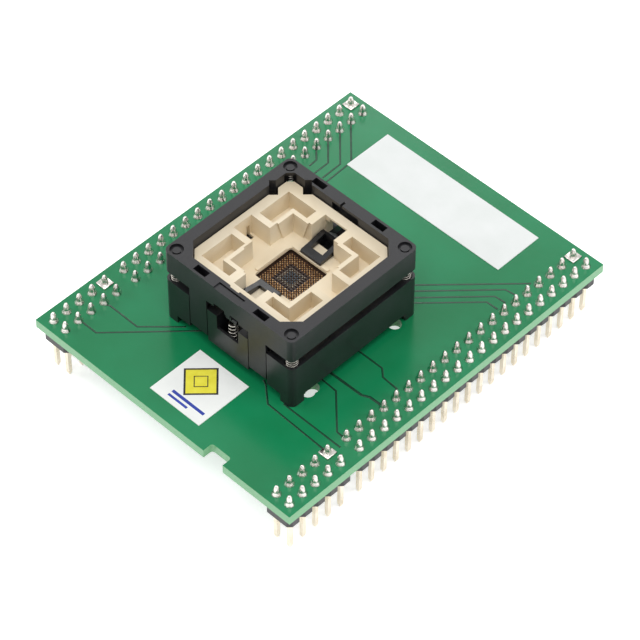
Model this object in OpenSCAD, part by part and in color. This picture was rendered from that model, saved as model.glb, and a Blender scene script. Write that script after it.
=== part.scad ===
/* [Adapter board] */
// Width of the board, across the header rows
board_w = 52; // [50:0.5:60]
// Length of the board, along the header rows
board_l = 66; // [66:0.5:80]
// Thickness of the board
board_t = 1.6; // [0.8:0.1:3.2]
// Width of the orientation notch in the front edge
notch_w = 3.85; // [1:0.05:5]
// Depth of the orientation notch
notch_d = 1.75; // [0.5:0.05:2]
// Distance of the orientation notch to the right of the centre line
notch_x = 10.9; // [8:0.1:14]
// Corner radius inside the orientation notch
notch_r = 0.5; // [0.1:0.1:0.5]

/* [Pin headers] */
// Pitch of the header pins
pitch = 2.54; // [2.54, 2]
// Half the distance between the outermost rows of pins
row_x = 24.13; // [24:0.01:25]
// Shift of the pin rows to the right of the board's centre line
row_shift = 0.2; // [0:0.1:0.3]
// Pin pairs in each short front header
front_pairs = 5; // [3:1:5]
// Pin pairs in each long rear header
rear_pairs = 20; // [10:1:20]
// Distance of the first pins from the board's front edge
pin_edge = 1.695; // [1.5:0.005:1.8]
// Distance between the last front pair and the first rear pair
group_step = 3.81; // [3.81:0.01:5]
// Side of the square header pins
pin_sq = 0.64; // [0.4:0.02:0.7]
// Length of pin below the header body
pin_below = 6.25; // [3:0.25:9]
// Height of pin above the board
pin_above = 1.65; // [1:0.05:2]
// Length of the tapered end of a pin
pin_taper = 0.6; // [0.2:0.1:1]
// Width of a pin's end as a share of its side
pin_end = 0.45; // [0.3:0.05:0.6]
// Height of the header body
header_h = 1.9; // [1.5:0.1:3]
// Depth of the notches between the pairs of a header body
header_notch = 0.6; // [0.1:0.05:0.7]
// Drill diameter of a plated pin hole
pin_drill = 1; // [1:0.05:1.2]

/* [Solder joints] */
// Diameter of a solder joint on its pad
solder_d = 1.5; // [1.2:0.05:1.7]
// Height of a solder joint over the end of its pin
solder_cap = 0.2; // [0.1:0.05:0.4]
// Thickness of the solder over the corners of a pin
solder_skin = 0.045; // [0.03:0.005:0.1]

/* [Labels] */
// Length of the title label
label_l = 31; // [20:0.5:34]
// Width of the title label
label_w = 9; // [5:0.5:10]
// Distance of the title label's middle to the right of the board's centre line
label_x = 0.1; // [-0.5:0.1:0.5]
// Distance of the title label's middle from the board's rear edge
label_edge = 7.25; // [6.5:0.25:8]
// Side of the square sticker
sticker_s = 10; // [6:0.5:11]
// Distance of the square sticker's middle to the right of the board's centre line
sticker_x = 0.35; // [-0.5:0.05:0.5]
// Distance of the square sticker's middle from the board's front edge
sticker_edge = 7.65; // [6:0.05:8]
// Thickness of label and sticker
label_t = 0.12; // [0.05:0.01:0.3]

/* [Socket] */
// Side of the square socket
sock_s = 25.8; // [25.8:0.1:27]
// Socket centre to the left of the board's centre line
sock_x = 0.24; // [0:0.01:1]
// Distance of the socket's centre from the board's front edge
sock_edge = 26.94; // [26:0.01:28]
// Corner radius of the socket
sock_r = 1; // [0.5:0.1:1.5]
// Height of the socket base
base_h = 8.1; // [7.9:0.1:8.3]
// Height of the feet under the base
foot_h = 1.5; // [1:0.1:1.6]
// Height of the sill under the spring windows in the front and rear walls
sill_h = 5.5; // [5:0.1:6.5]
// Wall in front of the latch springs
sill_wall = 0.4; // [0.3:0.05:0.5]
// Side of a corner foot, from the outer edge
foot_s = 2.4; // [1.5:0.1:4]
// Diameter of the locating holes beside the socket
locate_d = 2.1; // [1.5:0.1:2.5]
// Half the distance between the left and right locating holes
locate_x = 12.2; // [12:0.1:13]
// Distance of the locating holes from the socket's cross line
locate_y = 9; // [7:0.1:9.5]

/* [Press cover] */
// Travel of the cover
travel = 1.5; // [1.4:0.05:1.6]
// Height of the gap left between base and cover at the end of the travel
end_gap = 0.2; // [0.1:0.05:0.4]
// Height of the cover frame
cover_h = 4.2; // [4.2:0.1:6]
// Wall of the cover frame
cover_wall = 1.9; // [1.8:0.05:2]
// Corner chamfer of the cover's window
cover_chamfer = 2.3; // [2.2:0.1:2.8]
// Width of a hook leg
hook_w = 3.45; // [2:0.05:3.5]
// Distance of a hook leg's middle from the cover's centre line
hook_x = 5.97; // [5.9:0.01:6.2]
// Thickness of a hook leg
hook_t = 0.8; // [0.5:0.05:0.9]
// Clearance of a hook under its ledge in the base
hook_play = 0.2; // [0.1:0.05:0.3]
// Reach of a hook's nose
hook_nose = 0.8; // [0.4:0.05:1]
// Height of a hook's nose
hook_nose_h = 0.9; // [0.5:0.05:1]
// Width of the core slot above a hook
slot_w = 2.4; // [1:0.1:3]
// Depth of the core slot above a hook
slot_d = 1.1; // [0.5:0.05:1.2]
// Diameter of the round marks on the cover's corners
dimple_d = 2.1; // [1:0.1:2.4]
// Depth of the groove round a corner mark
dimple_deep = 0.45; // [0.1:0.05:0.5]
// Depth of the finger step in the front edge of the cover
step_deep = 0.2; // [0.1:0.05:0.4]
// Depth of the recess inside the cover's front and rear walls
inner_recess = 0.6; // [0.3:0.05:0.7]
// Width of a pusher over a latch arm
pusher_w = 1.1; // [0.6:0.1:1.4]
// Clearance between a pusher and its latch arm at rest
pusher_gap = 0.4; // [0.3:0.05:0.6]

/* [Nest] */
// Smaller corner chamfer of the cover's window at the rear left, which keys the nest
key_chamfer = 0.9; // [0.8:0.1:1.4]
// Half the width of the V-shaped notches beside the keyed corner
key_notch = 1; // [0.5:0.05:1.1]
// Distance of those notches from the centre lines
key_at = 7.3; // [7:0.1:8]
// Clearance between the nest and the cover that slides round it
nest_gap = 0.15; // [0.1:0.01:0.3]
// Height of the nest above the base
nest_h = 4.2; // [3.6:0.1:4.2]
// Thickness of the nest's floor
nest_floor = 0.4; // [0.3:0.05:0.6]
// Width of the well for the device, left to right
well_w = 12.45; // [11:0.05:12.5]
// Length of the well for the device, front to back
well_l = 13.4; // [12:0.05:13.5]
// Shift of the well towards the front right corner
well_shift = 0.2; // [0:0.05:0.3]
// Reach of the side arms of the well from its centre
side_arm = 9.85; // [9:0.05:9.9]
// Width of the side arms of the well
side_arm_w = 3.55; // [2:0.05:4]
// Reach of the front and rear arms of the well from its centre
end_arm = 9.3; // [9.2:0.05:9.4]
// Distance of the slit in the left arm's end wall from the cross line
slit_y = 0.75; // [0.6:0.05:1]
// Width of that slit
slit_w = 0.65; // [0.2:0.05:0.7]
// Distance of the floor slot under a latch from the centre
latch_slot = 7; // [6.8:0.05:7.4]
// Thickness of the bridge over a latch's way through the end wall
lintel = 0.35; // [0.2:0.05:0.6]
// Half the width of the contact opening
field_half = 3.75; // [3.6:0.05:3.8]
// Wall between the well and the L-shaped pockets
pocket_wall = 0.4; // [0.3:0.05:0.6]
// Distance of the pockets' outer walls from the centre, left and right
pocket_x = 9.2; // [9:0.05:9.3]
// Distance of the pockets' outer walls from the centre, front and rear
pocket_y = 8.85; // [8.7:0.05:9]
// Start of the pockets from the centre line, front and rear
pocket_from_x = 3.6; // [3.3:0.05:4]
// Start of the pockets from the cross line, left and right
pocket_from_y = 2.85; // [2.6:0.05:3.2]
// Thickness of the device guides in the well's corners
guide_t = 0.3; // [0.1:0.05:0.4]
// Length of a device guide along the top of the well
guide_l = 3.3; // [2.6:0.1:3.4]
// Length of a device guide along the well's floor
guide_foot = 2.3; // [1.5:0.1:2.5]
// Depth of the L-shaped pockets
pocket_depth = 3.3; // [1:0.1:3.4]

/* [Contacts] */
// Pitch of the contacts
grid = 0.5; // [0.5:0.01:0.52]
// Contacts in a full row
grid_n = 14; // [8:2:14]
// Contact rings left empty, counted as half steps from the centre
empty_ring = 3.5; // [3.5]
// Width of a contact across its two tines
contact_w = 0.16; // [0.1:0.01:0.16]
// Thickness of a contact
contact_t = 0.12; // [0.08:0.01:0.14]
// Depth of the contact tips below the top of the base
tip_drop = 0.52; // [0.5:0.01:0.6]
// Thickness of the contact slider
slider_t = 0.65; // [0.4:0.05:0.7]
// Travel of the contact slider
slider_shift = 0.08; // [0.02:0.01:0.08]

/* [Latches] */
// Width of a latch
latch_w = 4; // [3:0.1:4]
// Distance of a latch's nose from the socket's centre
nose_u = 3.9; // [3.8:0.05:4]
// Width of the bar at a latch's nose
nose_bar = 1.3; // [1:0.05:1.4]
// Height of a latch's nose above the well's floor
nose_play = 0.15; // [0.1:0.01:0.3]
// Rise of a latch's back above the well's floor
latch_rise = 1.4; // [1.2:0.05:1.4]
// Distance of a latch's pivot from the socket's centre
pivot_u = 9.9; // [9.8:0.05:9.9]
// Depth of a latch's pivot below the top of the base
pivot_drop = 0.5; // [0.45:0.01:0.55]
// Diameter of a latch's pivot pin
latch_pin_d = 0.8; // [0.6:0.05:0.8]
// Length of a latch's outer arm
arm_l = 1.7; // [1.6:0.05:1.75]
// Width of a latch's outer arm
arm_w = 2; // [1.2:0.1:2.4]
// Width of the window in a latch
window_w = 2.4; // [2:0.1:2.6]

/* [Springs] */
// Outer diameter of a cover spring
cover_spring_d = 1.9; // [1.2:0.1:2]
// Wire diameter of a cover spring
cover_wire = 0.26; // [0.15:0.01:0.3]
// Turns of a cover spring
cover_turns = 9; // [6:1:10]
// Outer diameter of a latch spring
latch_spring_d = 1.7; // [1.2:0.05:1.8]
// Wire diameter of a latch spring
latch_wire = 0.22; // [0.15:0.01:0.25]
// Turns of a latch spring
latch_turns = 6; // [4:1:7]
// Seat of every spring above the board
spring_seat = 3; // [2.8:0.1:3.4]

/* [Fits] */
// Clearance of parts that slide past one another
slide_fit = 0.15; // [0.1:0.01:0.2]
// Radial clearance of a turning pin in its bearing
turn_fit = 0.03; // [0.01:0.01:0.05]
// Clearance round each contact in its block
contact_fit = 0.01; // [0.005:0.005:0.02]

/* [Hidden] */
$fn = 32;
eps = 0.01;

// Heights above the pin tips
header_z = pin_below;
board_z = header_z + header_h;
board_top = board_z + board_t;
pin_l = board_top + pin_above;

// Pin grid
front_edge = -board_l / 2;
first_y = front_edge + pin_edge;
front_mid = first_y + (front_pairs - 1) * pitch / 2;
rear_first = first_y + (front_pairs - 1) * pitch + group_step;
rear_mid = rear_first + (rear_pairs - 1) * pitch / 2;
header_x = row_x - pitch / 2;

// Socket heights above the board
half = sock_s / 2;
skirt_z = base_h + travel + end_gap;
cover_top = skirt_z + cover_h;
win = half - cover_wall;
nest_half = win - nest_gap;
less = (2 - sqrt(2)) * nest_gap;
nest_chamfer = cover_chamfer - less;
nest_z = base_h;
nest_top = nest_z + nest_h;
floor_z = nest_z + nest_floor;
hook_bottom = spring_seat - hook_nose_h;
hook_ledge = spring_seat + hook_play;
sock_y = -front_edge - sock_edge;
spring_at = win + 0.6;
bore_gap = 0.1;
spring_bore = cover_spring_d / 2 + bore_gap;
cover_spring_top = cover_top - 1.2;

// Latch geometry, u runs outward from the socket's centre
arm_u = pivot_u + arm_l;
pivot_z = base_h - pivot_drop;
hub_r = latch_pin_d / 2 + 0.35;
tip_r = 0.5;
tip_lift = pivot_drop;
hump_u = pivot_u - 1.8;
hump_z = floor_z + latch_rise;
latch_spring_top = pivot_z + tip_lift - tip_r - 0.05;
bay_half = latch_w / 2 + slide_fit;
pin_half = bay_half + 1.2;
bay_floor = pivot_z - hub_r - 0.55;
spring_out = half - sill_wall;
neck_left = window_w / 2 + 0.05;
pusher_z = pivot_z + tip_lift + tip_r + pusher_gap;

// Contact stack
contact_h = base_h - tip_drop;
slider_top = contact_h + 0.02;
slider_z = slider_top - slider_t;
block_top = slider_z - 0.05;
block_half = field_half + 1.05;
slider_x = field_half + 3;
field_span = (grid_n - 1) * grid;

module at_socket() {
    translate([-sock_x, -sock_y, board_top]) children();
}

// Rectangle with round corners, exact
module rrect(w, l, r) {
    square([w - 2 * r, l], center = true);
    square([w, l - 2 * r], center = true);
    for (x = [-1, 1], y = [-1, 1]) translate([x * (w / 2 - r), y * (l / 2 - r)]) circle(r);
}

// Square with chamfered corners: c lists right-rear, left-rear, left-front, right-front
module csquare(h, c) {
    polygon([[h, h - c[0]], [h - c[0], h], [-h + c[1], h], [-h, h - c[1]],
        [-h, -h + c[2]], [-h + c[2], -h], [h - c[3], -h], [h, -h + c[3]]]);
}

// Box from x0..x1, y0..y1, z0..z1
module span(x, y, z) {
    translate([x[0], y[0], z[0]]) cube([x[1] - x[0], y[1] - y[0], z[1] - z[0]]);
}

// ---------- board ----------
module pin_places() {
    for (sx = [-1, 1], row = [0, 1], i = [0 : front_pairs + rear_pairs - 1])
        translate([row_shift + sx * (row_x - row * pitch),
            i < front_pairs ? first_y + i * pitch : rear_first + (i - front_pairs) * pitch])
            children();
}

module board_outline() {
    difference() {
        square([board_w, board_l], center = true);
        translate([notch_x, -board_l / 2]) {
            square([notch_w, 2 * (notch_d - notch_r)], center = true);
            square([notch_w - 2 * notch_r, 2 * notch_d], center = true);
            for (x = [-1, 1])
                translate([x * (notch_w / 2 - notch_r), notch_d - notch_r]) circle(notch_r);
        }
        pin_places() circle(d = pin_drill, $fn = 24);
        translate([-sock_x, -sock_y]) {
            for (x = [-1, 1], y = [-1, 1]) translate([x * locate_x, y * locate_y]) circle(d = locate_d);
            for (x = [-1, 1]) translate([x * (locate_x - 0.1), 1 - locate_y]) circle(d = locate_d);
        }
    }
}

module board() {
    color("#2f8a5f") translate([0, 0, board_z]) linear_extrude(board_t) board_outline();
}

module title_label() {
    color("#eef2f0") translate([label_x - label_l / 2, -front_edge - label_edge - label_w / 2, board_top])
        cube([label_l, label_w, label_t]);
}

module square_sticker() {
    color("#ececec") translate([sticker_x - sticker_s / 2, front_edge + sticker_edge - sticker_s / 2, board_top])
        cube([sticker_s, sticker_s, label_t]);
}

// ---------- pin headers ----------
// Header body for n pairs, notched between the pairs, with square pin holes
module header_body(n) {
    color("#26262a") linear_extrude(header_h) difference() {
        square([2 * pitch, n * pitch], center = true);
        for (i = [0 : n], s = [-1, 1]) translate([s * pitch, (i - n / 2) * pitch])
            rotate(45) square(header_notch * sqrt(2), center = true);
        for (i = [0 : n - 1], s = [-0.5, 0.5])
            translate([s * pitch, (i - (n - 1) / 2) * pitch]) square(pin_sq, center = true);
    }
}

// Side view of one pin: a strip tapered at both ends
module pin_profile(l) {
    a = pin_sq / 2;
    b = a * pin_end;
    polygon([[-a, pin_taper], [-b, 0], [b, 0], [a, pin_taper],
        [a, l - pin_taper], [b, l], [-b, l], [-a, l - pin_taper]]);
}

// Pins of n pairs: two long strips crossed with n cross strips
module header_pins(n) {
    color("#cfc6ae") intersection() {
        rotate([90, 0, 0]) linear_extrude(n * pitch, center = true)
            for (s = [-0.5, 0.5]) translate([s * pitch, 0]) pin_profile(pin_l);
        rotate([90, 0, 90]) linear_extrude(2 * pitch, center = true)
            for (i = [0 : n - 1]) translate([(i - (n - 1) / 2) * pitch, 0]) pin_profile(pin_l);
    }
}

module front_left_header() {
    translate([row_shift - header_x, front_mid, header_z]) header_body(front_pairs);
}

module front_right_header() {
    translate([row_shift + header_x, front_mid, header_z]) header_body(front_pairs);
}

module rear_left_header() {
    translate([row_shift - header_x, rear_mid, header_z]) header_body(rear_pairs);
}

module rear_right_header() {
    translate([row_shift + header_x, rear_mid, header_z]) header_body(rear_pairs);
}

module front_left_pins() {
    translate([row_shift - header_x, front_mid, 0]) header_pins(front_pairs);
}

module front_right_pins() {
    translate([row_shift + header_x, front_mid, 0]) header_pins(front_pairs);
}

module rear_left_pins() {
    translate([row_shift - header_x, rear_mid, 0]) header_pins(rear_pairs);
}

module rear_right_pins() {
    translate([row_shift + header_x, rear_mid, 0]) header_pins(rear_pairs);
}

// The outside of one pin
module one_pin() {
    intersection() {
        rotate([90, 0, 0]) linear_extrude(pin_sq, center = true) pin_profile(pin_l);
        rotate([90, 0, 90]) linear_extrude(pin_sq, center = true) pin_profile(pin_l);
    }
}

// One solder joint: a concave fillet that runs up into a spire over the pin's end
module solder_joint() {
    r = solder_d / 2;
    h = pin_above + solder_cap;
    neck = pin_sq / sqrt(2) + solder_skin;
    tip = pin_end * pin_sq / sqrt(2) + solder_skin;
    difference() {
        rotate_extrude($fn = 24) polygon([[0, 0], [r, 0], [r - 0.05, 0.14],
            [neck + 0.07, h * 0.35], [neck, pin_above - pin_taper], [tip, pin_above],
            [tip * 0.6, h - 0.05], [0, h]]);
        translate([0, 0, -board_top]) one_pin();
    }
}

module solder_joints() {
    color("#d8dadc") translate([0, 0, board_top]) pin_places() solder_joint();
}

// ---------- socket base ----------
// The four places of a hook leg
module hook_places() {
    for (a = [0, 180], s = [-1, 1]) rotate(a) translate([s * hook_x, 0]) children();
}

module base_cuts() {
    side = half + 1;
    // Open space between the corner feet
    span([-half + foot_s, half - foot_s], [-side, side], [-1, foot_h]);
    span([-side, side], [-half + foot_s, half - foot_s], [-1, foot_h]);
    // Hook channels with the ledge that holds each hook
    hook_places() {
        span([-hook_w / 2 - slide_fit, hook_w / 2 + slide_fit],
            [-side, -half + hook_t + slide_fit], [-1, base_h + 1]);
        span([-hook_w / 2 - slide_fit, hook_w / 2 + slide_fit],
            [-side, -half + hook_t + hook_nose + 2 * slide_fit], [-1, hook_ledge]);
    }
    // Latch bays, spring pockets and the windows that show the springs
    for (a = [0, 180]) rotate(a) {
        span([-bay_half, bay_half], [-spring_out, -latch_slot], [bay_floor, base_h + 1]);
        span([-bay_half, bay_half], [-spring_out, -pivot_u - hub_r], [spring_seat, base_h + 1]);
        span([-bay_half, bay_half], [-side, -spring_out + eps], [sill_h, base_h + 1]);
        translate([0, -pivot_u, pivot_z]) rotate([0, 90, 0])
            cylinder(d = latch_pin_d, h = 2 * pin_half, center = true);
        span([-pin_half, pin_half], [-pivot_u - latch_pin_d / 2, -pivot_u + latch_pin_d / 2],
            [pivot_z, base_h + 1]);
    }
    // Spring bores at the corners
    for (x = [-1, 1], y = [-1, 1])
        translate([x * spring_at, y * spring_at, spring_seat]) cylinder(r = spring_bore, h = base_h);
    // Seat of the contact block and run of the slider
    span([-block_half, block_half], [-block_half, block_half], [-1, base_h + 1]);
    span([-slider_x - 1, slider_x + 1], [-block_half, block_half], [slider_z - 0.02, base_h + 1]);
}

module socket_base() {
    color("#2b2c30") at_socket() difference() {
        linear_extrude(base_h) rrect(sock_s, sock_s, sock_r);
        base_cuts();
    }
}

// ---------- contacts ----------
// Positions along a row, and whether a contact stands there
function at(i) = (i - (grid_n - 1) / 2) * grid;
function ring(i, j) = max(abs(i - (grid_n - 1) / 2), abs(j - (grid_n - 1) / 2));
function live(i, j) = ring(i, j) != empty_ring;

// Side view of a forked contact: tail, body and two tines that open inward at the tip
module contact_profile() {
    w = contact_w / 2;
    t = contact_w * 0.3;
    polygon([[-w, 0], [w, 0], [w, contact_h - 0.12], [w - 0.02, contact_h],
        [w - t, contact_h - 0.05], [w - t, contact_h - 1.6], [-w + t, contact_h - 1.6],
        [-w + t, contact_h - 0.05], [-w + 0.02, contact_h], [-w, contact_h - 0.12]]);
}

module contacts() {
    color("#c08a5a") at_socket() for (j = [0 : grid_n - 1])
        translate([0, at(j) + contact_t / 2, 0]) rotate([90, 0, 0]) linear_extrude(contact_t)
            for (i = [0 : grid_n - 1]) if (live(i, j)) translate([at(i), 0]) contact_profile();
}

module contact_block() {
    color("#222226") at_socket() translate([0, 0, 0.4]) linear_extrude(block_top - 0.4) difference() {
        square(2 * block_half, center = true);
        for (i = [0 : grid_n - 1], j = [0 : grid_n - 1]) if (live(i, j)) translate([at(i), at(j)])
            square([contact_w + 2 * contact_fit, contact_t + 2 * contact_fit], center = true);
    }
}

module contact_slider() {
    room = contact_w + 2 * slider_shift + 2 * contact_fit;
    color("#4a3a30") at_socket() translate([0, 0, slider_z]) linear_extrude(slider_t) difference() {
        square([2 * slider_x, 2 * block_half - 2 * slide_fit], center = true);
        for (i = [0 : grid_n - 1], j = [0 : grid_n - 1])
            translate([at(i), at(j)]) square([room, contact_t + 0.12], center = true);
    }
}

// ---------- nest ----------
// V-shaped notches beside the keyed corner, in a wall at distance h
module key_notches(h, size) {
    translate([-h, key_at]) rotate(45) square(size * sqrt(2), center = true);
    translate([-key_at, h]) rotate(45) square(size * sqrt(2), center = true);
}

// One L-shaped pocket in the corner of the nest on the side sx, sy
module pocket_l(sx, sy) {
    x = sx * well_shift + well_w / 2 + pocket_wall;
    y = -sy * well_shift + well_l / 2 + pocket_wall;
    mirror([sx < 0 ? 1 : 0, 0, 0]) mirror([0, sy < 0 ? 1 : 0, 0]) translate([0, 0, nest_top - pocket_depth]) {
        span([x, pocket_x], [pocket_from_y, pocket_y], [0, nest_h]);
        span([pocket_from_x, pocket_x], [y, pocket_y], [0, nest_h]);
    }
}

module nest_body() {
    difference() {
        csquare(nest_half, [nest_chamfer, key_chamfer - less, nest_chamfer, nest_chamfer]);
        key_notches(nest_half, key_notch);
    }
}

// Side view of a device guide on a wall that ends at the corner c
module guide_side(c) {
    polygon([[c + eps, floor_z - eps], [c + eps, nest_top], [c - guide_l, nest_top],
        [c - guide_foot, floor_z - eps]]);
}

// Guides on both walls of each corner of the well
module guides() {
    x = well_w / 2;
    y = well_l / 2;
    translate([well_shift, -well_shift]) for (mx = [0, 1], my = [0, 1])
        mirror([mx, 0, 0]) mirror([0, my, 0]) {
            translate([x - guide_t, 0]) rotate([90, 0, 90]) linear_extrude(guide_t + eps) guide_side(y);
            translate([0, y + eps]) rotate([90, 0, 0]) linear_extrude(guide_t + eps) guide_side(x);
        }
}

module nest_cuts() {
    up = nest_top + 1;
    wx = well_w / 2;
    wy = well_l / 2;
    arm = bay_half + 0.05;
    // Well and its four arms
    translate([well_shift, -well_shift]) span([-wx, wx], [-wy, wy], [floor_z, up]);
    span([-side_arm, side_arm], [-side_arm_w / 2, side_arm_w / 2], [floor_z, up]);
    span([-arm, arm], [-end_arm, end_arm], [floor_z, up]);
    // Slit in the left arm's end wall, down through the floor
    span([-side_arm - 0.5, -side_arm + 0.9], [slit_y, slit_y + slit_w], [nest_z - 1, floor_z + 1.9]);
    // Opening over the contacts
    translate([0, 0, nest_z - 1]) linear_extrude(3) rrect(2 * field_half, 2 * field_half, 0.4);
    // L-shaped pockets
    for (sx = [-1, 1], sy = [-1, 1]) pocket_l(sx, sy);
    // Ways of the latches through the floor and the end walls
    for (a = [0, 180]) rotate(a) {
        span([-bay_half, bay_half], [-nest_half - 1, -latch_slot], [nest_z - 1, nest_top - 1]);
        span([-bay_half, neck_left + 0.1], [-nest_half - 1, -end_arm + eps], [nest_z, nest_top - lintel]);
    }
}

module nest() {
    color("#e6d9bf") at_socket() {
        difference() {
            translate([0, 0, nest_z]) linear_extrude(nest_h) nest_body();
            nest_cuts();
        }
        guides();
        // Raised lips beside the contact opening
        span([-field_half - 0.6, -field_half - 0.05], [-3, 3], [floor_z, floor_z + 0.25]);
        for (x = [-3.5, latch_w / 2 + 0.2])
            span([x, x + 1.3], [field_half + 0.05, field_half + 0.6], [floor_z, floor_z + 0.25]);
    }
}

// ---------- cover ----------
module cover_frame() {
    difference() {
        rrect(sock_s, sock_s, sock_r);
        csquare(win, [cover_chamfer, key_chamfer, cover_chamfer, cover_chamfer]);
        key_notches(win, key_notch * 0.7);
    }
}

module hook_leg() {
    out = -half;
    in = out + hook_t;
    rotate([90, 0, 90]) linear_extrude(hook_w, center = true)
        polygon([[out, skirt_z + 1], [out, hook_bottom + 0.2], [out + 0.2, hook_bottom],
            [in + hook_nose * 0.4, hook_bottom], [in + hook_nose, hook_bottom + hook_nose_h * 0.5],
            [in + hook_nose, hook_bottom + hook_nose_h], [in, hook_bottom + hook_nose_h],
            [in, skirt_z + 1]]);
}

module pusher() {
    span([-pusher_w / 2, pusher_w / 2], [-half + 0.25, -win - inner_recess], [pusher_z, skirt_z + 1]);
}

module cover_cuts() {
    mark = half - 1.4;
    relief = [skirt_z - 1, skirt_z + 0.6];
    // Core slots above the hooks
    hook_places() translate([0, -half + 0.4 + slot_d / 2, (skirt_z + cover_top) / 2])
        cube([slot_w, slot_d, cover_h + 2], center = true);
    // Corner marks: a groove round a slightly sunk disc
    for (x = [-1, 1], y = [-1, 1]) translate([x * mark, y * mark, cover_top]) {
        translate([0, 0, -dimple_deep]) difference() {
            cylinder(d = dimple_d, h = 1);
            translate([0, 0, -1]) cylinder(d = dimple_d * 0.6, h = 3);
        }
        translate([0, 0, -dimple_deep / 2]) cylinder(d = dimple_d, h = 1);
    }
    // Spring bores
    for (x = [-1, 1], y = [-1, 1]) translate([x * spring_at, y * spring_at, skirt_z - 1])
        cylinder(r = spring_bore, h = cover_spring_top - skirt_z + 1);
    // Recess in the inner wall of the keyed corner
    translate([-win + key_chamfer / 2, win - key_chamfer / 2]) rotate(45)
        span([-0.95, 0.95], [-0.25, 0.5], [skirt_z - 1, cover_top - 0.35]);
    // Finger step in the top of the front edge, and the cut-back behind it
    span([-2.6, 2.5], [-half - 1, -win - 0.7], [cover_top - step_deep, cover_top + 1]);
    span([-2.6, 2.5], [-win - 0.75, -win - 0.6], [cover_top - 2 * step_deep, cover_top + 1]);
    span([-1.1, 0.8], [-win - 0.25, -win + 1], [skirt_z - 1, cover_top + 1]);
    // Small nick in the rear edge
    span([-0.9, -0.5], [win - 1, win + 0.8], [cover_top - 0.8, cover_top + 1]);
    for (a = [0, 180]) rotate(a) {
        // Recess inside the wall, under a thin top edge
        span([-2.75, 2.5], [-win - inner_recess, -win + 1], [skirt_z - 1, cover_top - 0.5]);
        // Relief over the latch arm, on both sides of the pusher
        span([-2.7, -pusher_w / 2], [-half - 1, -win + 1], relief);
        span([pusher_w / 2, 2.3], [-half - 1, -win + 1], relief);
    }
}

module cover() {
    color("#303136") at_socket() {
        difference() {
            union() {
                translate([0, 0, skirt_z]) linear_extrude(cover_h) cover_frame();
                for (a = [0, 180]) rotate(a) pusher();
            }
            cover_cuts();
        }
        difference() {
            hook_places() hook_leg();
            translate([0, 0, skirt_z]) cube([2 * sock_s, 2 * sock_s, 4], center = true);
        }
        hook_places() span([-hook_w / 2, hook_w / 2], [-half, -half + 0.4], [skirt_z - 2, skirt_z]);
    }
}

// ---------- springs ----------
// Coil of round wire, from z0 to z1, standing on the origin's axis
module coil(d, wire, turns, z0, z1) {
    per = 10;
    sides = 6;
    n = turns * per;
    r = (d - wire) / 2;
    w = wire / 2;
    pts = [for (k = [0 : n], s = [0 : sides - 1])
        let (a = k * 360 / per, b = s * 360 / sides, z = z0 + w + (z1 - z0 - wire) * k / n)
        [(r + w * cos(b)) * cos(a), (r + w * cos(b)) * sin(a), z + w * sin(b)]];
    walls = [for (k = [0 : n - 1], s = [0 : sides - 1])
        let (i = k * sides + s, j = k * sides + (s + 1) % sides)
        [i, i + sides, j + sides, j]];
    first = [for (s = [0 : sides - 1]) s];
    last = [for (s = [sides - 1 : -1 : 0]) n * sides + s];
    polyhedron(points = pts, faces = concat(walls, [first], [last]));
}

module cover_springs() {
    color("#c4c6ca") at_socket() for (x = [-1, 1], y = [-1, 1]) translate([x * spring_at, y * spring_at])
        coil(cover_spring_d, cover_wire, cover_turns, spring_seat, cover_spring_top);
}

// ---------- latches ----------
// Side view of a latch's frame, u to the right and height up
module latch_frame() {
    polygon([[nose_u, floor_z + nose_play], [nose_u, floor_z + 0.5], [nose_u + 0.25, floor_z + 0.75],
        [nose_u + nose_bar, floor_z + 0.85], [hump_u, hump_z], [hump_u + 0.6, hump_z - 0.1],
        [hump_u + 0.6, hump_z - 1.1], [nose_u + nose_bar + 0.1, floor_z + nose_play]]);
}

// Neck from the frame's back down to the hub
module latch_neck() {
    polygon([[hump_u, hump_z - 0.02], [hump_u + 0.6, hump_z - 0.1], [pivot_u + 0.5, pivot_z + 0.56],
        [pivot_u, pivot_z - 0.5], [pivot_u - 0.7, pivot_z - 0.25], [hump_u + 0.1, hump_z - 1.15]]);
    translate([pivot_u, pivot_z]) circle(hub_r);
}

module latch_arm() {
    translate([arm_u, pivot_z + tip_lift]) circle(tip_r);
    polygon([[pivot_u, pivot_z + hub_r - 0.2], [arm_u, pivot_z + tip_lift + tip_r],
        [arm_u, pivot_z + tip_lift - tip_r], [pivot_u, pivot_z - hub_r + 0.05]]);
}

module latch() {
    difference() {
        union() {
            rotate([90, 0, 90]) linear_extrude(latch_w, center = true) latch_frame();
            translate([-neck_left, 0, 0]) rotate([90, 0, 90])
                linear_extrude(neck_left + latch_w / 2) latch_neck();
            rotate([90, 0, 90]) linear_extrude(arm_w, center = true) latch_arm();
        }
        span([-window_w / 2, window_w / 2], [nose_u + nose_bar, hump_u], [floor_z - 1, hump_z + 1]);
        translate([0, pivot_u, pivot_z]) rotate([0, 90, 0])
            cylinder(d = latch_pin_d + 2 * turn_fit, h = 2 * latch_w, center = true);
    }
}

module latch_pin() {
    color("#b9bcc0") translate([0, pivot_u, pivot_z]) rotate([0, 90, 0])
        cylinder(d = latch_pin_d, h = 2 * pin_half - 0.1, center = true);
}

module latch_spring() {
    color("#c4c6ca") translate([0, arm_u, 0])
        coil(latch_spring_d, latch_wire, latch_turns, spring_seat, latch_spring_top);
}

module front_latch() {
    color("#26272b") at_socket() rotate(180) latch();
}

module rear_latch() {
    color("#26272b") at_socket() latch();
}

module front_latch_pin() {
    at_socket() rotate(180) latch_pin();
}

module rear_latch_pin() {
    at_socket() latch_pin();
}

module front_latch_spring() {
    at_socket() rotate(180) latch_spring();
}

module rear_latch_spring() {
    at_socket() latch_spring();
}

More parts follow.
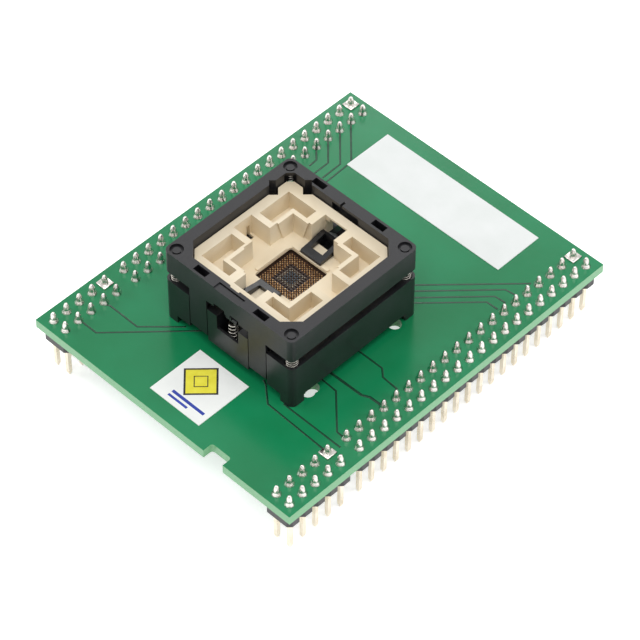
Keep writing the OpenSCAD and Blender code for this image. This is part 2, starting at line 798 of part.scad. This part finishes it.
board();
title_label();
square_sticker();
front_left_header();
front_right_header();
rear_left_header();
rear_right_header();
front_left_pins();
front_right_pins();
rear_left_pins();
rear_right_pins();
solder_joints();
socket_base();
contact_block();
contacts();
contact_slider();
nest();
cover();
cover_springs();
front_latch();
rear_latch();
front_latch_pin();
rear_latch_pin();
front_latch_spring();
rear_latch_spring();
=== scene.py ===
import math
import bmesh
import bpy
from mathutils import Matrix, Vector


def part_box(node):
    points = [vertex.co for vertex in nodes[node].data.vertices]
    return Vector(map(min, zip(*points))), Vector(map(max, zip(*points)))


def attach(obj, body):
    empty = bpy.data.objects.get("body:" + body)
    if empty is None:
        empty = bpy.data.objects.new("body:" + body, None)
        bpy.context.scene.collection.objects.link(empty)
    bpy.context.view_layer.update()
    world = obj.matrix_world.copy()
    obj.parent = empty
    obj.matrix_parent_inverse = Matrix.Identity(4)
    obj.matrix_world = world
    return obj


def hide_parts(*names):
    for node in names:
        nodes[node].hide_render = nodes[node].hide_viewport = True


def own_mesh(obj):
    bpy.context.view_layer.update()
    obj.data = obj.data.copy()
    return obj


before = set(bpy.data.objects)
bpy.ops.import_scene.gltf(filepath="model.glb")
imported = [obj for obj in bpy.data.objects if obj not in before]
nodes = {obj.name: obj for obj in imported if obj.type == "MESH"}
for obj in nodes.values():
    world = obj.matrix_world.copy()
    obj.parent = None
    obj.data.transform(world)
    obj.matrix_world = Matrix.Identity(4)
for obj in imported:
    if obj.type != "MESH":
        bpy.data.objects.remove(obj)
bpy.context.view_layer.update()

mm = 0.001
slack = 0.001 * mm
boardLow, boardHigh = [Vector(c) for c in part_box("board")]
boardTop = boardHigh.z
baseLow, baseHigh = [Vector(c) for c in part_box("socket_base")]
socketAt = (baseLow + baseHigh) / 2
socketAt.z = boardTop
print("frame loaded:", len(nodes), "nodes")


# An sRGB hex colour as the linear values that a shader takes
def linear(hexColor):
    values = []
    for k in (0, 2, 4):
        v = int(hexColor[k:k + 2], 16) / 255
        values.append(v / 12.92 if v <= 0.04045 else ((v + 0.055) / 1.055) ** 2.4)
    return (*values, 1)


# Sets a socket where the node has one of that name or number, and else a property of the node
def addNode(tree, kind, settings=None, links=None):
    node = tree.nodes.new(kind)
    for key, value in (settings or {}).items():
        if isinstance(key, int) or key in node.inputs.keys():
            node.inputs[key].default_value = value
        else:
            setattr(node, key, value)
    for key, source in (links or {}).items():
        tree.links.new(source, node.inputs[key])
    return node


def startMaterial(name):
    mat = bpy.data.materials.new(name)
    mat.use_nodes = True
    tree = mat.node_tree
    tree.nodes.clear()
    out = addNode(tree, "ShaderNodeOutputMaterial")
    return mat, tree, out


def ramp(tree, source, stops):
    node = addNode(tree, "ShaderNodeValToRGB", links={"Fac": source})
    band = node.color_ramp
    while len(band.elements) < len(stops):
        band.elements.new(0.5)
    for element, (place, value) in zip(band.elements, stops):
        element.position = place
        element.color = linear(value) if isinstance(value, str) else (value, value, value, 1)
    return node.outputs["Color"]


# Noise stays mostly inside this band, so a ramp over it uses both of its ends
noiseBand = (0.3, 0.7)


def mottle(tree, noise, low, high):
    return ramp(tree, noise.outputs["Fac"], [(noiseBand[0], low), (noiseBand[1], high)])


def noiseNode(tree, coords, scale, detail):
    return addNode(tree, "ShaderNodeTexNoise", {"Scale": scale, "Detail": detail},
                   {"Vector": coords.outputs["Object"]})


# A moulded or coated surface: mottled colour, fine grain bump and uneven gloss
def surfaceMaterial(look):
    mat, tree, out = startMaterial(look["name"])
    coords = addNode(tree, "ShaderNodeTexCoord")
    cloud = noiseNode(tree, coords, look["cloudScale"], 3.0)
    grain = noiseNode(tree, coords, look["grainScale"], 2.0)
    color = mottle(tree, cloud, look["dark"], look["light"])
    gloss = mottle(tree, cloud, *look["rough"])
    bump = addNode(tree, "ShaderNodeBump",
                   {"Strength": look["bump"], "Distance": look["bumpHeight"]},
                   {"Height": grain.outputs["Fac"]})
    shader = addNode(tree, "ShaderNodeBsdfPrincipled", {"Metallic": look.get("metallic", 0.0)},
                     {"Base Color": color, "Roughness": gloss,
                      "Normal": bump.outputs["Normal"]})
    if "ior" in look:
        shader.inputs["IOR"].default_value = look["ior"]
    tree.links.new(shader.outputs["BSDF"], out.inputs["Surface"])
    return mat


# Both scales are per metre, so a scale of 5000 makes grain of 0.2 mm and one of 200 clouds of 5 mm
looks = {
    # Near black and satin, so the base's edges show by their highlights
    "socket": {"name": "glassFilledPlastic", "dark": "17181a", "light": "202124",
               "cloudScale": 160.0, "grainScale": 9000.0, "rough": (0.30, 0.38),
               "bump": 0.25, "bumpHeight": 0.02 * mm, "ior": 1.5},
    # Black with a coarser grain, which spreads the lights into a soft sheen
    "coverTop": {"name": "mouldedCoverPlastic", "dark": "121215", "light": "1b1b1f",
                 "cloudScale": 160.0, "grainScale": 7000.0, "rough": (0.36, 0.46),
                 "bump": 0.35, "bumpHeight": 0.03 * mm, "ior": 1.5},
    # A duller, slightly paler black than the socket's
    "header": {"name": "headerPolyester", "dark": "1b1b1d", "light": "26262a",
               "cloudScale": 300.0, "grainScale": 6000.0, "rough": (0.40, 0.50),
               "bump": 0.3, "bumpHeight": 0.02 * mm, "ior": 1.55},
    # Warm beige and nearly matt, with faint flow clouds
    "nest": {"name": "naturalPolyetherImide", "dark": "e2d2b4", "light": "ecdfc6",
             "cloudScale": 180.0, "grainScale": 5000.0, "rough": (0.42, 0.52),
             "bump": 0.25, "bumpHeight": 0.02 * mm, "ior": 1.5},
    # Dark brown: the plate's colour darkened with painted shade, so the gaps between the contact heads
    # read as depth
    "slider": {"name": "sliderPlasticWithPaintedShade", "dark": "24150d", "light": "362114",
               "cloudScale": 900.0, "grainScale": 9000.0, "rough": (0.35, 0.5),
               "bump": 0.3, "bumpHeight": 0.01 * mm, "ior": 1.5},
    # The glossiest black, with clear highlights along the latches' edges
    "latch": {"name": "latchPlastic", "dark": "101113", "light": "1b1c1f",
              "cloudScale": 400.0, "grainScale": 8000.0, "rough": (0.25, 0.35),
              "bump": 0.2, "bumpHeight": 0.02 * mm, "ior": 1.5},
    # Warm pale metal with drawn, uneven gloss
    "pins": {"name": "tinnedBrassPins", "dark": "d3c8b2", "light": "ece4d4",
             "cloudScale": 500.0, "grainScale": 4000.0, "rough": (0.22, 0.38),
             "bump": 0.1, "bumpHeight": 0.01 * mm, "metallic": 1.0},
    # Bright cool metal, lightly rippled, with small hard glints
    "solder": {"name": "tinLeadSolder", "dark": "c4c0bb", "light": "ece8e2",
               "cloudScale": 1400.0, "grainScale": 2500.0, "rough": (0.16, 0.3),
               "bump": 0.35, "bumpHeight": 0.05 * mm, "metallic": 1.0},
    # Copper red under thin gold
    "contacts": {"name": "goldFlashedCopper", "dark": "a8714a", "light": "d9a377",
                 "cloudScale": 2500.0, "grainScale": 6000.0, "rough": (0.25, 0.4),
                 "bump": 0.1, "bumpHeight": 0.005 * mm, "metallic": 1.0},
    # Plain grey steel, smooth, with a sharp line of light along each turn
    "spring": {"name": "springWire", "dark": "85827d", "light": "aba79f",
               "cloudScale": 900.0, "grainScale": 6000.0, "rough": (0.2, 0.3),
               "bump": 0.05, "bumpHeight": 0.005 * mm, "metallic": 1.0},
    # Cool white with a paper-like softness
    "label": {"name": "labelFilm", "dark": "e2e6e4", "light": "eaedec",
              "cloudScale": 200.0, "grainScale": 4000.0, "rough": (0.45, 0.6),
              "bump": 0.15, "bumpHeight": 0.01 * mm, "ior": 1.45},
}
# The label's surface in a brighter white
looks["sticker"] = {**looks["label"], "name": "stickerVinyl", "dark": "eef1ee", "light": "f5f7f4"}
made = {key: surfaceMaterial(look) for key, look in looks.items()}


# Solder mask over glass epoxy: glossy green above and below, sawn pale edges
maskLook = {"dark": "0f7848", "light": "158555", "edge": "7fbf8c", "cloudScale": 90.0,
            "weaveScale": 900.0, "bump": 0.15, "bumpHeight": 0.03 * mm, "rough": 0.2, "ior": 1.42,
            "flatFrom": 0.5}


def maskMaterial(look):
    mat, tree, out = startMaterial("solderMask")
    coords = addNode(tree, "ShaderNodeTexCoord")
    cloud = noiseNode(tree, coords, look["cloudScale"], 4.0)
    green = mottle(tree, cloud, look["dark"], look["light"])
    normal = addNode(tree, "ShaderNodeSeparateXYZ", links={"Vector": coords.outputs["Normal"]})
    up = addNode(tree, "ShaderNodeMath", {"operation": "ABSOLUTE"}, {0: normal.outputs["Z"]})
    face = addNode(tree, "ShaderNodeMath", {"operation": "GREATER_THAN", 1: look["flatFrom"]},
                   {0: up.outputs[0]})
    # Inputs 6 and 7 and output 2 are this node's colour sockets
    mix = addNode(tree, "ShaderNodeMix", {"data_type": "RGBA"})
    tree.links.new(face.outputs[0], mix.inputs[0])
    mix.inputs[6].default_value = linear(look["edge"])
    tree.links.new(green, mix.inputs[7])
    weave = noiseNode(tree, coords, look["weaveScale"], 1.0)
    bump = addNode(tree, "ShaderNodeBump",
                   {"Strength": look["bump"], "Distance": look["bumpHeight"]},
                   {"Height": weave.outputs["Fac"]})
    shader = addNode(tree, "ShaderNodeBsdfPrincipled",
                     {"Roughness": look["rough"], "IOR": look["ior"]},
                     {"Base Color": mix.outputs[2], "Normal": bump.outputs["Normal"]})
    tree.links.new(shader.outputs["BSDF"], out.inputs["Surface"])
    return mat


made["board"] = maskMaterial(maskLook)

# The look of each CAD node; the four headers and their pins are told by their names
finishOf = {
    "board": "board", "title_label": "label", "square_sticker": "sticker",
    "solder_joints": "solder", "socket_base": "socket", "contact_block": "socket",
    "contacts": "contacts", "contact_slider": "slider", "nest": "nest", "cover": "coverTop",
    "cover_springs": "spring", "front_latch": "latch", "rear_latch": "latch",
    "front_latch_pin": "spring", "rear_latch_pin": "spring",
    "front_latch_spring": "spring", "rear_latch_spring": "spring",
}
for name, node in nodes.items():
    key = finishOf.get(name) or ("header" if name.endswith("header") else "pins")
    node.data.materials.clear()
    node.data.materials.append(made[key])
print("materials on", len(nodes), "nodes")


# A named piece with its looks, riding a body of the frame
def newPiece(name, mesh, finish, body="adapter"):
    piece = bpy.data.objects.new(name, mesh)
    bpy.context.collection.objects.link(piece)
    for key in finish:
        mesh.materials.append(made[key])
    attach(piece, body)
    return piece


# A place in mm from the middle of the socket, at the board's top
def atSocket(x, y, z=0.0):
    return socketAt + Vector((x, y, z)) * mm


# Contact heads just over the slider's plate, in mm: a diagonal bar with a raised tip at each end
tipLook = {"pitch": 0.5, "count": 14, "emptyRing": 3.5, "greyRing": 2.5, "stem": (0.13, 0.1),
           "bar": (0.34, 0.07), "tip": 0.16, "spread": 0.177, "foot": 7.5, "neck": 7.62,
           "top": 7.66, "crown": 7.74, "bevel": 0.025,
           "finish": ["tips", "greyTips", "coreTips", "bars"]}
tipSurface = {"cloudScale": 2300.0, "grainScale": 6000.0, "bump": 0.1, "bumpHeight": 0.005 * mm,
              "metallic": 1.0}
# Gold that changes from head to head, so the outer field glitters unevenly
looks["tips"] = {**tipSurface, "name": "goldFlashedTips", "dark": "9a6638", "light": "f2cb98",
                 "rough": (0.3, 0.45)}
# Bare grey metal, which sets the ring round the core apart
looks["greyTips"] = {**tipSurface, "name": "bareTips", "dark": "6f6a60", "light": "b3aa9a",
                     "rough": (0.3, 0.5)}
# Bluish dark metal, so the core sinks back
looks["coreTips"] = {**tipSurface, "name": "darkenedTips", "dark": "414d55", "light": "6d7c84",
                     "rough": (0.35, 0.5)}
# Brown and dull, so each bar stays in the shade of its tips
looks["bars"] = {**tipSurface, "name": "shadedBars", "dark": "38261a", "light": "5e412a",
                 "rough": (0.4, 0.55)}
for key in tipLook["finish"]:
    made[key] = surfaceMaterial(looks[key])


def block(form, size, middle, turn=0.0):
    place = Matrix.Translation(middle) @ Matrix.Rotation(turn, 4, "Z") @ Matrix.Diagonal((*size, 1))
    return bmesh.ops.create_cube(form, size=1, matrix=place)["verts"]


# Writes a form out as a mesh and frees it
def meshOf(form, name):
    mesh = bpy.data.meshes.new(name)
    form.to_mesh(mesh)
    form.free()
    return mesh


def softEdges(form, edges, offset):
    bmesh.ops.bevel(form, geom=edges, offset=offset, segments=2, profile=0.5, affect="EDGES",
                    material=-1)


def oneTip(look):
    form = bmesh.new()
    foot, neck, top, crown = look["foot"], look["neck"], look["top"], look["crown"]
    block(form, (*look["stem"], neck - foot), (0, 0, (foot + neck) / 2))
    block(form, (*look["bar"], top - neck), (0, 0, (neck + top) / 2), math.radians(45))
    for f in form.faces:
        f.material_index = look["finish"].index("bars")
    for side in (-1, 1):
        reach = side * look["spread"] / 2 * math.sqrt(2)
        block(form, (look["tip"], look["tip"], crown - neck), (reach, reach, (neck + crown) / 2))
    rim = [e for e in form.edges if all(v.co.z > crown - slack / mm for v in e.verts)]
    softEdges(form, rim, look["bevel"])
    return meshOf(form, "oneTip")


def contactTips(look):
    tip = oneTip(look)
    field = bmesh.new()
    half = (look["count"] - 1) / 2
    bars = look["finish"].index("bars")
    for i in range(look["count"]):
        for j in range(look["count"]):
            ring = max(abs(i - half), abs(j - half))
            if ring == look["emptyRing"]:
                continue
            if ring > look["emptyRing"]:
                finish = look["finish"].index("tips")
            else:
                finish = look["finish"].index("greyTips" if ring == look["greyRing"] else "coreTips")
            before, start = len(field.verts), len(field.faces)
            field.from_mesh(tip)
            field.verts.ensure_lookup_table()
            field.faces.ensure_lookup_table()
            place = atSocket((i - half) * look["pitch"], (j - half) * look["pitch"])
            for v in field.verts[before:]:
                v.co = v.co * mm + place
            for f in field.faces[start:]:
                if f.material_index != bars:
                    f.material_index = finish
    return newPiece("contactTips", meshOf(field, "contactTips"), look["finish"])


contactTips(tipLook)

# Solder joints in mm: a bell that climbs the pin in four lobes, with a shallow groove over each of
# the pin's corners. Profile pairs are radius and height; squares are side, row and place in the row
padLook = {"profile": [(0.78, 0.0), (0.77, 0.05), (0.63, 0.32), (0.505, 0.58), (0.49, 0.63),
                       (0.49, 1.05)],
           "tip": 0.255, "tipDrop": 0.2, "end": 0.15, "endDrop": 0.05, "steps": 16,
           "groove": 0.06, "pinCorner": 0.462, "cornerSlack": 0.01, "square": 1.9,
           "squareHigh": 0.34, "bevel": 0.12,
           "squares": [(1, 1, 4), (1, 1, 24), (-1, 0, 4), (-1, 0, 24)]}
# Where the pins stand, in mm: short rows in front, long rows behind them, two rows on each side
pinLook = {"fromFront": 1.695, "pitch": 2.54, "between": 3.81, "shortRow": 5, "longRow": 20,
           "shift": 0.2, "outer": 24.13}


def pinPlace(look, side, row, i):
    first, pitch, short = boardLow.y / mm + look["fromFront"], look["pitch"], look["shortRow"]
    y = first + i * pitch
    if i >= short:
        y = first + (short - 1) * pitch + look["between"] + (i - short) * pitch
    x = look["shift"] + side * (look["outer"] - row * pitch)
    return Vector((x * mm, y * mm, boardTop))


def oneJoint(look, squareLand):
    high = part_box("solder_joints")[1][2] / mm - boardTop / mm
    profile = look["profile"] + [(look["tip"], high - look["tipDrop"]),
                                 (look["end"], high - look["endDrop"]), (0, high)]
    form = bmesh.new()
    last = None
    for radius, up in profile:
        v = form.verts.new((radius * mm, 0, up * mm))
        if last:
            form.edges.new((last, v))
        last = v
    bmesh.ops.spin(form, geom=form.verts[:] + form.edges[:], cent=(0, 0, 0), axis=(0, 0, 1),
                   angle=math.tau, steps=look["steps"], use_merge=True)
    bmesh.ops.remove_doubles(form, verts=form.verts[:], dist=slack)
    bmesh.ops.holes_fill(form, edges=[e for e in form.edges if e.is_boundary])
    for v in form.verts:
        wide = v.co.xy.length
        offDiagonal = abs(abs(v.co.x) - abs(v.co.y))
        if wide > look["pinCorner"] * mm and offDiagonal < look["cornerSlack"] * mm:
            v.co.xy *= max(look["pinCorner"] * mm, wide * (1 - look["groove"])) / wide
    if squareLand:
        side, high = look["square"] * mm, look["squareHigh"] * mm
        land = set(block(form, (side, side, high), (0, 0, high / 2)))
        rim = [e for e in form.edges if all(v in land and v.co.z > 0 for v in e.verts)]
        softEdges(form, rim, look["bevel"] * mm)
    bmesh.ops.recalc_face_normals(form, faces=form.faces[:])
    return meshOf(form, "oneJoint")


def solderJoints(look):
    plain, onLand = oneJoint(look, False), oneJoint(look, True)
    field = bmesh.new()
    for side in (-1, 1):
        for row in (0, 1):
            for i in range(pinLook["shortRow"] + pinLook["longRow"]):
                before = len(field.verts)
                field.from_mesh(onLand if (side, row, i) in look["squares"] else plain)
                field.verts.ensure_lookup_table()
                place = pinPlace(pinLook, side, row, i)
                for v in field.verts[before:]:
                    v.co += place
    for f in field.faces:
        f.smooth = True
    piece = newPiece("solderBells", meshOf(field, "solderBells"), ["solder"])
    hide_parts("solder_joints")
    return piece


solderJoints(padLook)

# Springs, sizes in mm: wound wire on the plain springs' places and heights. The pitch is rounded to
# whole turns
springLook = {"joint": "cover_press", "perTurn": 14, "wireSides": 1,
              "springs": {"cover_springs": {"outer": 1.9, "wire": 0.2, "pitch": 0.46},
                          "front_latch_spring": {"outer": 1.7, "wire": 0.22, "pitch": 0.78},
                          "rear_latch_spring": {"outer": 1.7, "wire": 0.22, "pitch": 0.78}}}


def springPiece(node, shape, look):
    low, high = [Vector(c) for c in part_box(node)]
    radius, inset = (shape["outer"] - shape["wire"]) / 2 * mm, shape["outer"] / 2 * mm
    bottom, top = low.z + shape["wire"] / 2 * mm, high.z - shape["wire"] / 2 * mm
    turns = round((top - bottom) / (shape["pitch"] * mm))
    curve = bpy.data.curves.new("wire", "CURVE")
    curve.dimensions = "3D"
    curve.bevel_depth = shape["wire"] / 2 * mm
    curve.bevel_resolution = look["wireSides"]
    curve.use_fill_caps = True
    for x in sorted({round(low.x + inset, 6), round(high.x - inset, 6)}):
        for y in sorted({round(low.y + inset, 6), round(high.y - inset, 6)}):
            spline = curve.splines.new("POLY")
            count = turns * look["perTurn"]
            spline.points.add(count)
            for k, point in enumerate(spline.points):
                turn = math.tau * k / look["perTurn"]
                point.co = (x + radius * math.cos(turn), y + radius * math.sin(turn),
                            bottom + (top - bottom) * k / count, 1)
    holder = bpy.data.objects.new("wire", curve)
    mesh = bpy.data.meshes.new_from_object(holder)
    bpy.data.objects.remove(holder)
    mesh.name = "wound_" + node
    mesh.materials.clear()
    for f in mesh.polygons:
        f.use_smooth = True
    piece = newPiece("wound_" + node, mesh, ["spring"])
    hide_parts(node)
    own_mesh(piece)


for node, shape in springLook["springs"].items():
    springPiece(node, shape, springLook)

# Plain print on the square sticker, in mm: a framed yellow diamond over two blue bars
stickerLook = {"rise": 0.01, "lift": 0.004, "diamond": 2.5, "frame": 0.3, "heart": 0.42,
               "middle": (-0.6, 0.9), "bars": [((0.9, -3.1), (6.4, 0.5)), ((-0.4, -3.95), (3.8, 0.4))],
               "finish": ["yellowInk", "blueInk", "blackInk"]}
# Flat, slightly dull inks, each a little uneven so that it reads as printed
for key, dark, light in (("yellowInk", "e6dc3c", "f0e84e"), ("blueInk", "2c3f9c", "3a4fb0"),
                         ("blackInk", "1f1f22", "2c2c30")):
    made[key] = surfaceMaterial({"name": key, "dark": dark, "light": light, "cloudScale": 900.0,
                                 "grainScale": 5000.0, "rough": (0.4, 0.55), "bump": 0.15,
                                 "bumpHeight": 0.005 * mm, "ior": 1.45})


def stickerPrint(look):
    low, high = [Vector(c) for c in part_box("square_sticker")]
    middle = (low + high) / 2
    form = bmesh.new()

    def patch(size, at, turn, level, ink):
        start = len(form.faces)
        z = high.z + level * look["lift"] * mm
        spot = Vector((middle.x + at[0] * mm, middle.y + at[1] * mm, z + look["rise"] * mm / 2))
        block(form, (size[0] * mm, size[1] * mm, look["rise"] * mm), spot, math.radians(turn))
        form.faces.ensure_lookup_table()
        for f in form.faces[start:]:
            f.material_index = look["finish"].index(ink)

    wide = 2 * look["diamond"]
    patch((wide, wide), look["middle"], 45, 0, "blackInk")
    patch((wide - 2 * look["frame"],) * 2, look["middle"], 45, 1, "yellowInk")
    patch((wide * look["heart"],) * 2, look["middle"], 45, 2, "blackInk")
    patch((wide * look["heart"] - look["frame"],) * 2, look["middle"], 45, 3, "yellowInk")
    for at, size in look["bars"]:
        patch(size, at, 0, 0, "blueInk")
    return newPiece("stickerPrint", meshOf(form, "stickerPrint"), look["finish"])


stickerPrint(stickerLook)

# Copper runs under the solder mask, in mm from the middle of the socket: low, flattened ridges
traceLook = {"width": 0.31, "wide": 0.46, "rise": 0.12, "thin": [
    [(6.1, -11.8), (6.9, -12.2), (9.7, -14.6), (21.5, -15.0)],
    [(11.3, -13.0), (12.4, -13.05), (22.6, -13.1)],
    [(11.1, -5.9), (14.95, -6.1), (20.3, -11.4), (21.6, -11.5)],
    [(11.3, 1.6), (16.7, 1.6), (17.95, 0.45), (21.0, 0.25)],
    [(-21.3, -18.3), (-20.0, -17.5), (-14.2, -17.55), (-9.1, -12.6)],
    [(-21.3, -22.5), (-17.6, -22.5), (-6.9, -11.5)],
    [(8.8, 16.3), (21.1, 28.75)], [(9.6, 15.4), (19.2, 25.2), (21.0, 25.45)],
    [(10.5, 14.5), (19.0, 23.15), (21.0, 23.3)], [(11.2, 13.7), (18.9, 21.5), (21.0, 21.55)],
    [(-20.9, 29.1), (-17.5, 25.6), (-17.45, 22.1)], [(-20.8, 31.6), (-16.0, 26.7), (-15.9, 22.7)],
    [(-20.8, 34.0), (-15.1, 28.2), (-14.9, 22.5)], [(-21.0, 26.6), (-19.2, 24.8), (-19.1, 23.1)]],
    "thick": [[(11.5, -4.2), (18.1, -4.1), (19.2, -3.55), (21.4, -3.5)]]}
# A darker green than the bare board's, with the same gloss, so the runs read as under the mask
looks["trace"] = {"name": "maskOverCopper", "dark": "0c3a26", "light": "12452f",
                  "cloudScale": 300.0, "grainScale": 3000.0, "rough": (0.2, 0.28),
                  "bump": 0.1, "bumpHeight": 0.01 * mm, "ior": 1.5}
made["trace"] = surfaceMaterial(looks["trace"])


def traces(look):
    joined = bmesh.new()
    for width, runs in ((look["width"], look["thin"]), (look["wide"], look["thick"])):
        curve = bpy.data.curves.new("run", "CURVE")
        curve.dimensions = "3D"
        curve.bevel_depth = width / 2 * mm
        curve.bevel_resolution = 1
        curve.use_fill_caps = True
        for run in runs:
            spline = curve.splines.new("POLY")
            spline.points.add(len(run) - 1)
            for point, (x, y) in zip(spline.points, run):
                point.co = (*atSocket(x, y), 1)
        holder = bpy.data.objects.new("run", curve)
        mesh = bpy.data.meshes.new_from_object(holder)
        joined.from_mesh(mesh)
        bpy.data.objects.remove(holder)
    for v in joined.verts:
        v.co.z = boardTop + (v.co.z - boardTop) * look["rise"]
    return newPiece("traces", meshOf(joined, "traces"), ["trace"])


traces(traceLook)
print("contact tips, solder joints, springs, sticker print and traces made")


# Where the picture is taken from: angles in degrees, lens and sensor in mm, the rest in metres
cameraLook = {"azimuth": 44.35, "elevation": 48.668, "distance": 451.209 * mm, "lens": 174.4,
              "sensor": 36, "nearest": 0.01, "target": Vector((3.652, -4.111, 9.75)) * mm}


# Stands at a place with its back to one direction, as cameras and lamps do
def standing(place, back):
    return Matrix.Translation(place) @ back.to_track_quat("Z", "Y").to_matrix().to_4x4()


def addCamera(look):
    az, el = math.radians(look["azimuth"]), math.radians(look["elevation"])
    back = Vector((math.sin(az) * math.cos(el), -math.cos(az) * math.cos(el), math.sin(el)))
    data = bpy.data.cameras.new("camera")
    data.lens, data.sensor_width, data.clip_start = look["lens"], look["sensor"], look["nearest"]
    camera = bpy.data.objects.new("camera", data)
    camera.matrix_world = standing(look["target"] + back * look["distance"], back)
    bpy.context.collection.objects.link(camera)
    bpy.context.scene.camera = camera


addCamera(cameraLook)


# Square softboxes: place, aim and size in metres, power in watts
def addLight(name, place, aim, size, power):
    data = bpy.data.lights.new(name, "AREA")
    data.shape, data.size, data.energy = "SQUARE", size, power
    lamp = bpy.data.objects.new(name, data)
    lamp.matrix_world = standing(Vector(place), Vector(place) - Vector(aim))
    bpy.context.collection.objects.link(lamp)


addLight("topSoftbox", (0.10, -0.10, 0.55), (0, 0, 0), 0.45, 1.9)
addLight("leftSoftbox", (-0.50, -0.30, 0.30), (0, 0, 0.01), 0.35, 1.3)
addLight("rightSoftbox", (0.50, 0.25, 0.30), (0, 0, 0.01), 0.35, 1.0)
addLight("backSoftbox", (-0.48, 0.55, 0.50), (0, 0, 0), 0.3, 0.8)

# The world is white to the camera and in reflections and dimmer as a light. The floor glows a
# little to the same rays, so that it stays white with soft shadows
studioLook = {"worldLight": 0.33, "floorGlow": 0.6, "floorSize": 3, "floorScale": 8.0,
              "floorDark": "fafafa", "floorLight": "ffffff"}


# One where a ray is of any of these kinds, and else nought
def raysOf(tree, kinds):
    paths = addNode(tree, "ShaderNodeLightPath")
    seen = paths.outputs[kinds[0]]
    for kind in kinds[1:]:
        seen = addNode(tree, "ShaderNodeMath", {"operation": "MAXIMUM"},
                       {0: seen, 1: paths.outputs[kind]}).outputs[0]
    return seen


def addWorld(look):
    world = bpy.data.worlds.new("studio")
    bpy.context.scene.world = world
    world.use_nodes = True
    sky = world.node_tree
    sky.nodes.clear()
    skyOut = addNode(sky, "ShaderNodeOutputWorld")
    seen = raysOf(sky, ("Is Camera Ray", "Is Glossy Ray", "Is Transmission Ray"))
    level = addNode(sky, "ShaderNodeMapRange", {"To Min": look["worldLight"], "To Max": 1.0},
                    {"Value": seen})
    glow = addNode(sky, "ShaderNodeBackground", {"Color": (1, 1, 1, 1)},
                   {"Strength": level.outputs["Result"]})
    sky.links.new(glow.outputs["Background"], skyOut.inputs["Surface"])


addWorld(studioLook)


def addFloor(look):
    form = bmesh.new()
    bmesh.ops.create_grid(form, x_segments=1, y_segments=1, size=look["floorSize"])
    mesh = meshOf(form, "floor")
    floor = bpy.data.objects.new("floor", mesh)
    bpy.context.collection.objects.link(floor)
    mat, tree, out = startMaterial("paleFloor")
    coords = addNode(tree, "ShaderNodeTexCoord")
    noise = addNode(tree, "ShaderNodeTexNoise", {"Scale": look["floorScale"]},
                    {"Vector": coords.outputs["Object"]})
    color = mottle(tree, noise, look["floorDark"], look["floorLight"])
    matt = addNode(tree, "ShaderNodeBsdfDiffuse", links={"Color": color})
    seen = raysOf(tree, ("Is Camera Ray", "Is Glossy Ray"))
    lift = addNode(tree, "ShaderNodeMath", {"operation": "MULTIPLY", 1: look["floorGlow"]},
                   {0: seen})
    shine = addNode(tree, "ShaderNodeEmission", {"Color": (1, 1, 1, 1)},
                    {"Strength": lift.outputs[0]})
    both = addNode(tree, "ShaderNodeAddShader", links={0: matt.outputs[0], 1: shine.outputs[0]})
    tree.links.new(both.outputs[0], out.inputs["Surface"])
    mesh.materials.append(mat)


addFloor(studioLook)
bpy.context.scene.view_settings.view_transform = "Standard"
print("camera, lights and floor ready")
